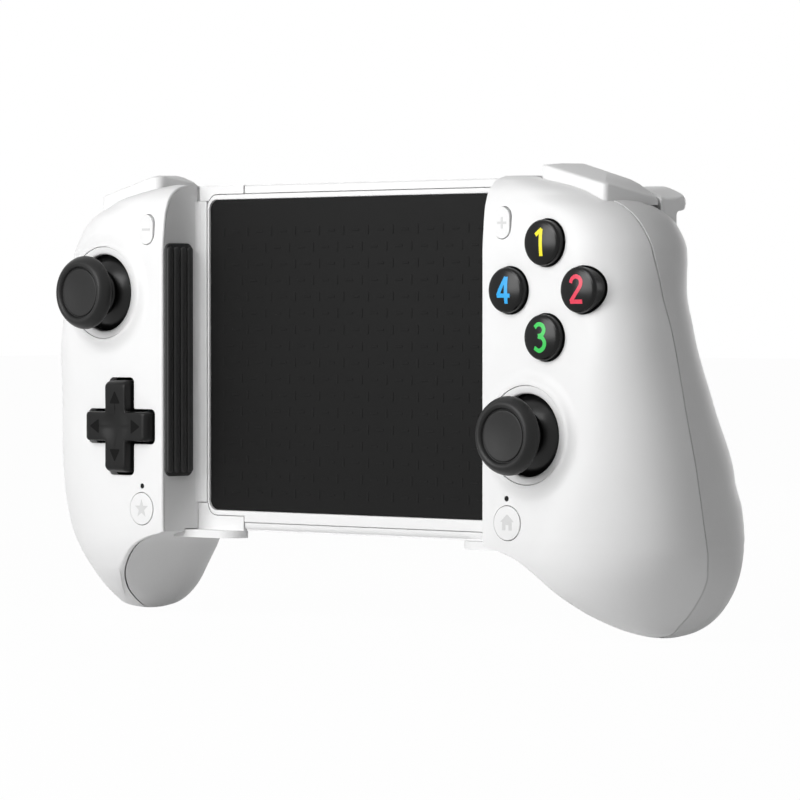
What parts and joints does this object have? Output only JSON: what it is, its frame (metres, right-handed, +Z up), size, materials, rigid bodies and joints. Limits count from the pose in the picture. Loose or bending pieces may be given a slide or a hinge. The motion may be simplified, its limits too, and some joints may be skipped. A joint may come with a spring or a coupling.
{
  "type": "mobile game controller",
  "caption": "White telescopic game controller with two grips that slide apart on a tray to clamp a phone, with thumbsticks, a D-pad, face buttons, bumpers and triggers.",
  "frame": {"origin": "middle of the width and depth, at the level of the grips' tips", "axes": "+X towards the half with the face buttons, +Y towards the rear, +Z up; the controls face -Y"},
  "size_m": [0.1952, 0.053, 0.1053],
  "materials": {
    "white_shell": "satin",
    "black_pad": "matte",
    "cap_rubber": "matte",
    "black_plastic": "satin",
    "gloss_black": "gloss",
    "steel": "satin",
    "board": "satin",
    "grey_plastic": "matte",
    "battery_wrap": "satin",
    "ribbon": "satin",
    "membrane": "matte"
  },
  "bodies": {
    "right_half": {"right_front_shell": "white_shell", "right_rear_shell": "white_shell", "tray_frame": "white_shell", "tray_pad": "black_pad", "tray_rear_cover": "white_shell", "right_ledge": "white_shell", "guide_rails": "steel", "pull_springs": "steel", "ribbon_cable": "ribbon", "tray_screws": "steel", "right_end_pad": "black_pad", "right_board": "board", "battery": "battery_wrap", "usb_socket": "steel", "right_switches": "grey_plastic", "right_led_pipe": "gloss_black", "right_shell_screws": "steel", "face_membrane": "membrane", "right_stick_housing": "grey_plastic", "right_stick_ring": "white_shell", "right_trigger_pin": "steel", "right_trigger_spring": "steel"},
    "left_half": {"left_front_shell": "white_shell", "left_rear_shell": "white_shell", "left_carriage": "white_shell", "slide_tongue": "grey_plastic", "left_end_pad": "black_pad", "left_board": "board", "left_switches": "grey_plastic", "left_led_pipe": "gloss_black", "left_shell_screws": "steel", "left_stick_housing": "grey_plastic", "left_stick_ring": "white_shell", "dpad_bracket": "grey_plastic", "left_trigger_pin": "steel", "left_trigger_spring": "steel"},
    "right_stick_carrier": {"right_stick_carrier": "grey_plastic"},
    "right_stick_yoke": {"right_stick_yoke": "grey_plastic"},
    "right_stick": {"right_stick_shaft": "black_plastic", "right_stick_cap": "cap_rubber"},
    "left_stick_carrier": {"left_stick_carrier": "grey_plastic"},
    "left_stick_yoke": {"left_stick_yoke": "grey_plastic"},
    "left_stick": {"left_stick_shaft": "black_plastic", "left_stick_cap": "cap_rubber"},
    "dpad_yoke": {"dpad_yoke": "grey_plastic"},
    "dpad_cross": {"dpad_cross": "black_plastic"},
    "button_top": {"button_top": "gloss_black"},
    "button_right": {"button_right": "gloss_black"},
    "button_bottom": {"button_bottom": "gloss_black"},
    "button_left": {"button_left": "gloss_black"},
    "plus_button": {"plus_button": "white_shell"},
    "minus_button": {"minus_button": "white_shell"},
    "home_button": {"home_button": "white_shell"},
    "star_button": {"star_button": "white_shell"},
    "right_bumper": {"right_bumper": "white_shell"},
    "left_bumper": {"left_bumper": "white_shell"},
    "right_trigger": {"right_trigger": "white_shell"},
    "left_trigger": {"left_trigger": "white_shell"}
  },
  "joints": [
    {"name": "left_slide", "type": "slide", "parent": "right_half", "child": "left_half", "axis": [-1, 0, 0], "range_m": [0, 0.07], "stiffness_N_per_m": 60, "springref_m": -0.02, "deforming": ["pull_springs", "ribbon_cable"]},
    {"name": "left_stick_click", "type": "slide", "parent": "left_half", "child": "left_stick_carrier", "axis": [0, 1, 0], "range_m": [0, 0.0005], "stiffness_N_per_m": 2000, "springref_m": -0.001},
    {"name": "left_stick_tilt_updown", "type": "hinge", "parent": "left_stick_carrier", "child": "left_stick_yoke", "pos_m": [-0.0703, -0.008, 0.0771], "axis": [1, 0, 0], "range_deg": [-14, 14], "stiffness_Nm_per_rad": 0.05},
    {"name": "left_stick_tilt_sideways", "type": "hinge", "parent": "left_stick_yoke", "child": "left_stick", "pos_m": [-0.0703, -0.008, 0.0771], "axis": [0, 0, 1], "range_deg": [-14, 14], "stiffness_Nm_per_rad": 0.05},
    {"name": "right_stick_click", "type": "slide", "parent": "right_half", "child": "right_stick_carrier", "axis": [0, 1, 0], "range_m": [0, 0.0005], "stiffness_N_per_m": 2000, "springref_m": -0.001},
    {"name": "right_stick_tilt_updown", "type": "hinge", "parent": "right_stick_carrier", "child": "right_stick_yoke", "pos_m": [0.0648, -0.008, 0.0448], "axis": [1, 0, 0], "range_deg": [-14, 14], "stiffness_Nm_per_rad": 0.05},
    {"name": "right_stick_tilt_sideways", "type": "hinge", "parent": "right_stick_yoke", "child": "right_stick", "pos_m": [0.0648, -0.008, 0.0448], "axis": [0, 0, 1], "range_deg": [-14, 14], "stiffness_Nm_per_rad": 0.05},
    {"name": "dpad_tilt_updown", "type": "hinge", "parent": "left_half", "child": "dpad_yoke", "pos_m": [-0.0648, -0.01, 0.0448], "axis": [1, 0, 0], "range_deg": [-4, 4], "stiffness_Nm_per_rad": 0.2},
    {"name": "dpad_tilt_sideways", "type": "hinge", "parent": "dpad_yoke", "child": "dpad_cross", "pos_m": [-0.0648, -0.01, 0.0448], "axis": [0, 0, 1], "range_deg": [-4, 4], "stiffness_Nm_per_rad": 0.2},
    {"name": "button_top_press", "type": "slide", "parent": "right_half", "child": "button_top", "axis": [0, 1, 0], "range_m": [0, 0.0014], "stiffness_N_per_m": 600, "springref_m": -0.0005},
    {"name": "button_right_press", "type": "slide", "parent": "right_half", "child": "button_right", "axis": [0, 1, 0], "range_m": [0, 0.0014], "stiffness_N_per_m": 600, "springref_m": -0.0005},
    {"name": "button_bottom_press", "type": "slide", "parent": "right_half", "child": "button_bottom", "axis": [0, 1, 0], "range_m": [0, 0.0014], "stiffness_N_per_m": 600, "springref_m": -0.0005},
    {"name": "button_left_press", "type": "slide", "parent": "right_half", "child": "button_left", "axis": [0, 1, 0], "range_m": [0, 0.0014], "stiffness_N_per_m": 600, "springref_m": -0.0005},
    {"name": "plus_press", "type": "slide", "parent": "right_half", "child": "plus_button", "axis": [0, 1, 0], "range_m": [0, 0.0006], "stiffness_N_per_m": 1200, "springref_m": -0.0005},
    {"name": "home_press", "type": "slide", "parent": "right_half", "child": "home_button", "axis": [0, 1, 0], "range_m": [0, 0.0006], "stiffness_N_per_m": 1200, "springref_m": -0.0005},
    {"name": "minus_press", "type": "slide", "parent": "left_half", "child": "minus_button", "axis": [0, 1, 0], "range_m": [0, 0.0006], "stiffness_N_per_m": 1200, "springref_m": -0.0005},
    {"name": "star_press", "type": "slide", "parent": "left_half", "child": "star_button", "axis": [0, 1, 0], "range_m": [0, 0.0006], "stiffness_N_per_m": 1200, "springref_m": -0.0005},
    {"name": "right_bumper_press", "type": "hinge", "parent": "right_half", "child": "right_bumper", "pos_m": [0.0578, -0.001, 0.1016], "axis": [0, 1, 0], "range_deg": [0, 3], "stiffness_Nm_per_rad": 0.6, "springref_deg": -1.72},
    {"name": "right_trigger_pull", "type": "hinge", "parent": "right_half", "child": "right_trigger", "pos_m": [0.0715, 0.003, 0.093], "axis": [-1, 0, 0], "range_deg": [0, 12], "stiffness_Nm_per_rad": 0.12, "springref_deg": -5.73},
    {"name": "left_bumper_press", "type": "hinge", "parent": "left_half", "child": "left_bumper", "pos_m": [-0.0578, -0.001, 0.1016], "axis": [0, -1, 0], "range_deg": [0, 3], "stiffness_Nm_per_rad": 0.6, "springref_deg": -1.72},
    {"name": "left_trigger_pull", "type": "hinge", "parent": "left_half", "child": "left_trigger", "pos_m": [-0.0715, 0.003, 0.093], "axis": [-1, 0, 0], "range_deg": [0, 12], "stiffness_Nm_per_rad": 0.12, "springref_deg": -5.73}
  ]
}
